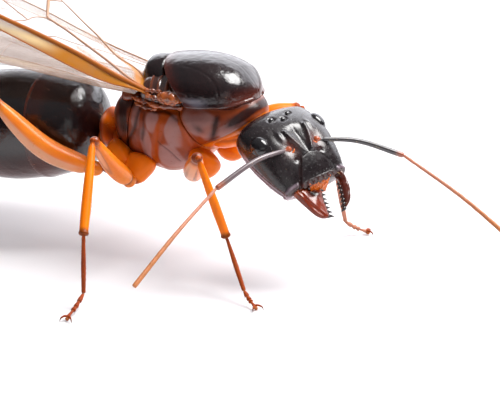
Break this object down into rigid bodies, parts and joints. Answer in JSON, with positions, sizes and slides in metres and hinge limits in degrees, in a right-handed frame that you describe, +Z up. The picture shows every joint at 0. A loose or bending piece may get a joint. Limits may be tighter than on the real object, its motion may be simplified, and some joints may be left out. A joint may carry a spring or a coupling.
{
  "type": "winged queen carpenter ant",
  "caption": "Life-size model of a winged queen carpenter ant standing with its jaws open, feelers spread and wings laid back over its hind body.",
  "frame": {"origin": "middle of the footprint, on the ground the ant stands on", "axes": "+X forwards along the body, +Y to the left of the ant, +Z up"},
  "size_m": [0.0254, 0.0134, 0.0111],
  "materials": {
    "black_shell": "glossy black shell",
    "eye": "glossy black, finely faceted",
    "red_brown_shell": "glossy dark red-brown shell",
    "flank_shell": "glossy, slightly translucent red-brown shell",
    "orange_shell": "glossy, slightly translucent orange shell",
    "dark_tip": "glossy brown",
    "wing": "clear film with amber veins"
  },
  "bodies": {
    "root": {"mesoscutum": "black_shell", "scutellum": "black_shell", "head": "black_shell", "scape_right": "black_shell", "scape_left": "black_shell", "gaster_1": "black_shell", "gaster_2": "black_shell", "gaster_3": "black_shell", "gaster_4": "black_shell", "gaster_5": "black_shell", "axillae": "red_brown_shell", "metanotum": "red_brown_shell", "propodeum": "red_brown_shell", "tegula_right": "red_brown_shell", "tegula_left": "red_brown_shell", "mandible_right": "red_brown_shell", "mandible_left": "red_brown_shell", "pronotum": "flank_shell", "mesopleuron": "flank_shell", "neck": "orange_shell", "petiole": "orange_shell", "mouthparts": "orange_shell", "flagellum_right": "orange_shell", "flagellum_left": "orange_shell", "eye_right": "eye", "eye_left": "eye", "forewing_left": "wing", "forewing_right": "wing", "hindwing_left": "wing", "hindwing_right": "wing", "coxa_front_right": "orange_shell", "femur_front_right": "orange_shell", "tibia_front_right": "orange_shell", "tarsus_front_right": "dark_tip", "coxa_front_left": "orange_shell", "femur_front_left": "orange_shell", "tibia_front_left": "orange_shell", "tarsus_front_left": "dark_tip", "coxa_middle_right": "orange_shell", "femur_middle_right": "orange_shell", "tibia_middle_right": "orange_shell", "tarsus_middle_right": "dark_tip", "coxa_middle_left": "orange_shell", "femur_middle_left": "orange_shell", "tibia_middle_left": "orange_shell", "tarsus_middle_left": "dark_tip", "coxa_hind_right": "orange_shell", "femur_hind_right": "orange_shell", "tibia_hind_right": "orange_shell", "tarsus_hind_right": "dark_tip", "coxa_hind_left": "orange_shell", "femur_hind_left": "orange_shell", "tibia_hind_left": "orange_shell", "tarsus_hind_left": "dark_tip"}
  },
  "joints": []
}
